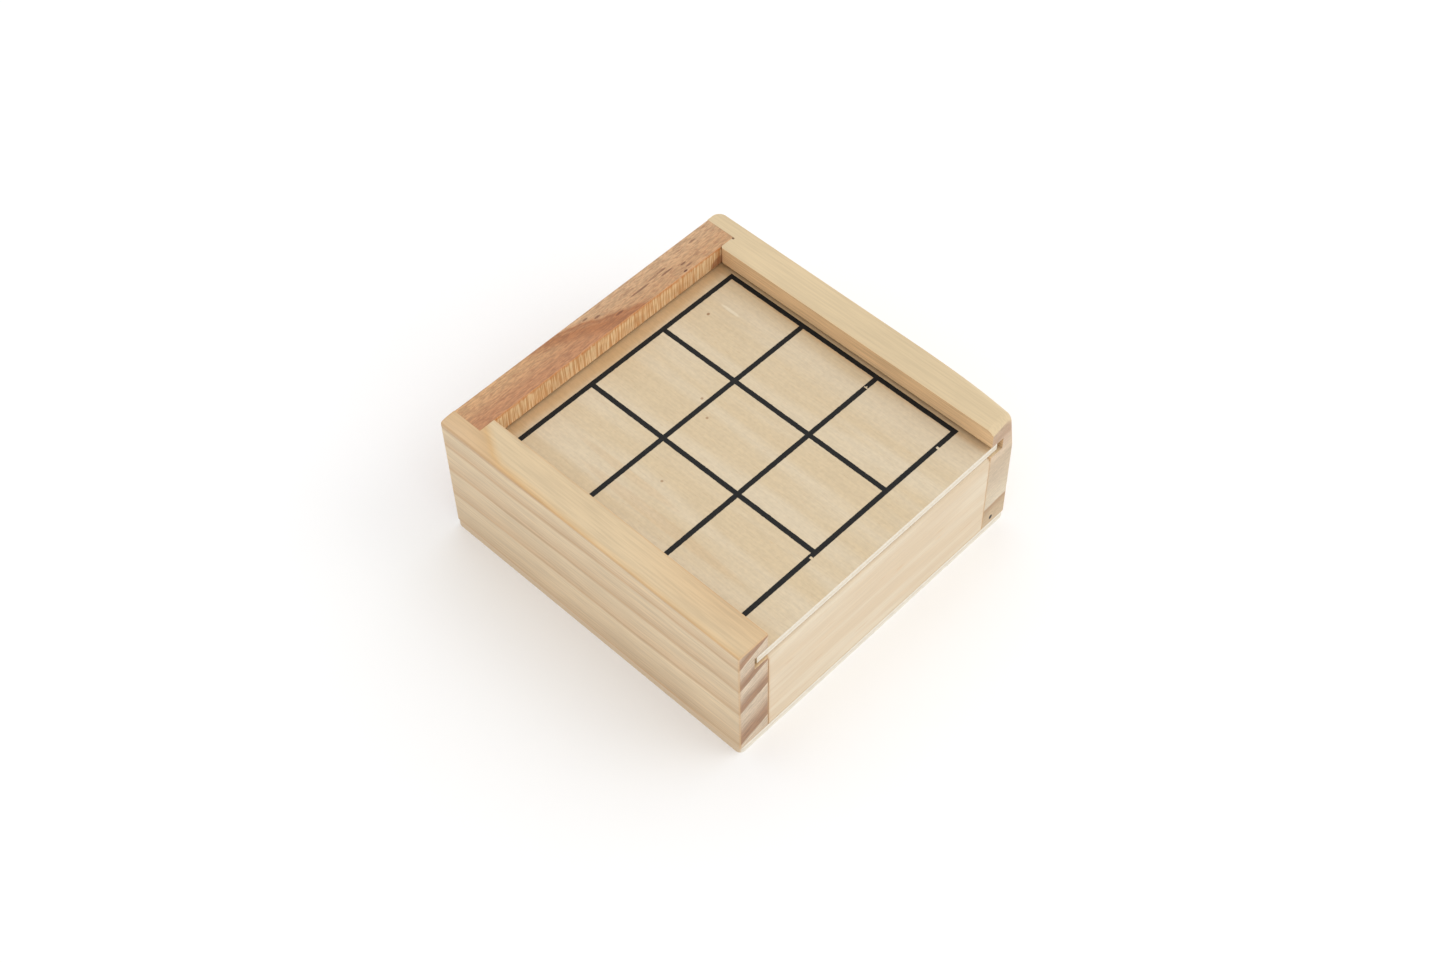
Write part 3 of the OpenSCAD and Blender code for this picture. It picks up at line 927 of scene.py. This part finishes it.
front_top_corner = Vector((right_high.x, right_low.y, wall_top))
wear_corner(right_bm, front_top_corner, (1, -1, 1), WORN_CORNER_RADIUS)
finished("right_wall_board", right_bm, "box", "right_side_wall", "right_wall_pine")

# %% [markdown]
# ## The back wall and the front wall
# The back wall is as high as the sides and carries the groove too, so that the lid's back edge is held.
# The front wall is lower, and its top edge is rounded over, where the lid slides across it. Both run along
# X, so here the sheet is the board's end at the left, and one push makes the board.

# %% Shape the back wall and the front wall
BACK_TOP_EDGE = 0.4 * MM
FRONT_TOP_RADIUS = 2.0 * MM
groove_back = back_low.y + GROOVE_DEPTH
back_groove_top = groove_floor + BACK_GROOVE_HEIGHT
back_bm = end_sheet(back_low, back_high, "X", (groove_back,), (groove_floor, back_groove_top))
take_out(back_bm, lambda c: groove_floor < c.z < back_groove_top and c.y < groove_back)
push(back_bm, back_bm.faces[:], (back_high.x - back_low.x, 0, 0))
join_flats(back_bm)
ease(back_bm, BACK_TOP_EDGE, 3, lambda m, way: abs(way.x) > 0.9 and near(m.z, wall_top))
ease(back_bm, FINE_EDGE, 2)
finished("back_wall_board", back_bm, "box", "back_wall", "back_wall_pine")

front_bm = end_sheet(front_low, front_high, "X")
push(front_bm, front_bm.faces[:], (front_high.x - front_low.x, 0, 0))
join_flats(front_bm)
ease(front_bm, FRONT_TOP_RADIUS, 6, lambda m, way: near(m.y, front_low.y) and near(m.z, front_high.z))
ease(front_bm, FINE_EDGE, 2)
finished("front_wall_board", front_bm, "box", "front_wall", "front_wall_pine")

# %% [markdown]
# ## The lid
# The lid is a sheet of plywood with its edges barely eased. It needs no end sheet and no push: a cube,
# scaled and moved to its place, is enough for a plain block, and the cubes will use the same helper.

# %% Shape the lid
LID_EDGE = 0.2 * MM


def block(low, high):
    """A box from one corner to the other."""
    bm = bmesh.new()
    bmesh.ops.create_cube(bm, size=1.0)
    bmesh.ops.scale(bm, verts=bm.verts, vec=high - low)
    bmesh.ops.translate(bm, verts=bm.verts, vec=(low + high) / 2)
    return bm


lid_bm = block(lid_low, lid_high)
ease(lid_bm, LID_EDGE, 2)
finished("lid_board", lid_bm, "lid", "sliding_lid", "lid_plywood")

# %% [markdown]
# ## The printed grid
# The grid on the lid is printed in black ink. It could be painted in the lid's material, but as a thin
# piece of its own it keeps a crisp edge from any distance. It starts as one square sheet, which is split
# along both sides of every line, and the nine inner squares are taken out. A finer set of splits lets
# noise roughen the outlines a little and lets three small nicks be taken out, because ink doesn't reach
# every pore of the wood. Last, the sheet gets the thickness of the ink.

# %% Shape the printed grid
LINE_COUNT = 4
LINE_WIDTH = 1.7 * MM
LINE_PITCH = 31.0 * MM
GRID_TURN = math.radians(-0.2)
INK_STEP = 0.45 * MM
GAP_REACH = 0.5 * MM
ROUGH_LENGTH = 0.9 * MM
ROUGH_DEPTH = 0.08      # in mm
ROUGH_SEED = 9
GAPS_IN_PRINT = [Vector((41.2, -15.6)) * MM, Vector((38.1, -47.0)) * MM, Vector((-17.7, -47.0)) * MM]
print_low, print_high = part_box("printed_grid")
print_middle = (print_low + print_high) / 2
line_places = [(i - (LINE_COUNT - 1) / 2) * LINE_PITCH for i in range(LINE_COUNT)]
grid_half = line_places[-1] + LINE_WIDTH / 2


def on_a_line(value):
    return any(abs(value - place) < LINE_WIDTH / 2 for place in line_places)


def split_both_ways(bm, place):
    for way in (Vector((1, 0, 0)), Vector((0, 1, 0))):
        split(bm, way * place, way)


ink_bm = bmesh.new()
bmesh.ops.create_grid(ink_bm, x_segments=1, y_segments=1, size=grid_half)
for place in line_places:
    split_both_ways(ink_bm, place - LINE_WIDTH / 2)
    split_both_ways(ink_bm, place + LINE_WIDTH / 2)
take_out(ink_bm, lambda c: not (on_a_line(c.x) or on_a_line(c.y)))
for i in range(1, int(2 * grid_half / INK_STEP)):
    split_both_ways(ink_bm, i * INK_STEP - grid_half)
take_out(ink_bm, lambda c: any((c.xy - gap).length < GAP_REACH for gap in GAPS_IN_PRINT))
noise.seed_set(ROUGH_SEED)      # without it, the noise would start at another place each time
for vert in ink_bm.verts:
    if vert.is_boundary:
        vert.co += noise.noise_vector(vert.co / ROUGH_LENGTH) * ROUGH_DEPTH * MM
    vert.co.z = 0
    vert.co.x = max(-grid_half, min(grid_half, vert.co.x))
    vert.co.y = max(-grid_half, min(grid_half, vert.co.y))
push(ink_bm, ink_bm.faces[:], (0, 0, print_high.z - print_low.z))
bmesh.ops.rotate(ink_bm, verts=ink_bm.verts, matrix=Matrix.Rotation(GRID_TURN, 3, "Z"))
bmesh.ops.translate(ink_bm, verts=ink_bm.verts, vec=(print_middle.x, print_middle.y, print_low.z))
finished("lid_print", ink_bm, "lid", "printed_grid", "grid_ink")

# %% [markdown]
# ## The nine cubes
# Each cube takes its place from its CAD node, and its edges are rounded. One cube could be copied nine
# times, but then all nine would have the same grain. So each corner gets its place in the tree: its place
# in the cube, turned at random by quarter turns, plus a random shift, and no two cubes look the same.

# %% Shape the cubes
CUBE_EDGE = 1.2 * MM
TREE_SPREAD = 90        # in mm, how far apart in the tree two cubes may come from
END_FACE_FROM = 0.8     # a face that looks this much along the tree shows end grain
dice = random.Random(9)
for row in ("front", "centre", "back"):
    for column in ("left", "middle", "right"):
        node = f"cube_{row}_{column}"
        low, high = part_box(node)
        cube_bm = block(low, high)
        ease(cube_bm, CUBE_EDGE, 5)
        turn = Matrix.Rotation(math.radians(90 * dice.randrange(4)), 3, dice.choice("XYZ"))
        turn = Matrix.Rotation(math.radians(90 * dice.randrange(4)), 3, dice.choice("XY")) @ turn
        shift = Vector([dice.uniform(0, TREE_SPREAD) for axis in "xyz"])
        tree = cube_bm.verts.layers.float_vector.new("tree")
        for vert in cube_bm.verts:
            vert[tree] = turn @ (vert.co - (low + high) / 2) / MM + shift
        end_face = cube_bm.faces.layers.float.new("end_face")
        cube_bm.normal_update()
        for face in cube_bm.faces:
            face[end_face] = 1.0 if abs((turn @ face.normal).z) > END_FACE_FROM else 0.0
        finished(f"{node}_wood", cube_bm, node, node, "cube_beech")

# %% [markdown]
# ## Base and brads
# The base is a plain plywood panel, and ten steel brads hold it to the walls. They could be made anew like
# the boards, but a flat panel and small round pins wouldn't look any better for it. So both keep their CAD
# meshes and only get their finishes.

# %% Dress the CAD pieces that stay
for node, slot in (("base_panel", "base_plywood"), ("base_brads", "brad_steel")):
    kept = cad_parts[node]
    for material_slot in kept.material_slots:
        material_slot.material = materials[slot]
    print(node, "keeps its CAD mesh and wears", slot)
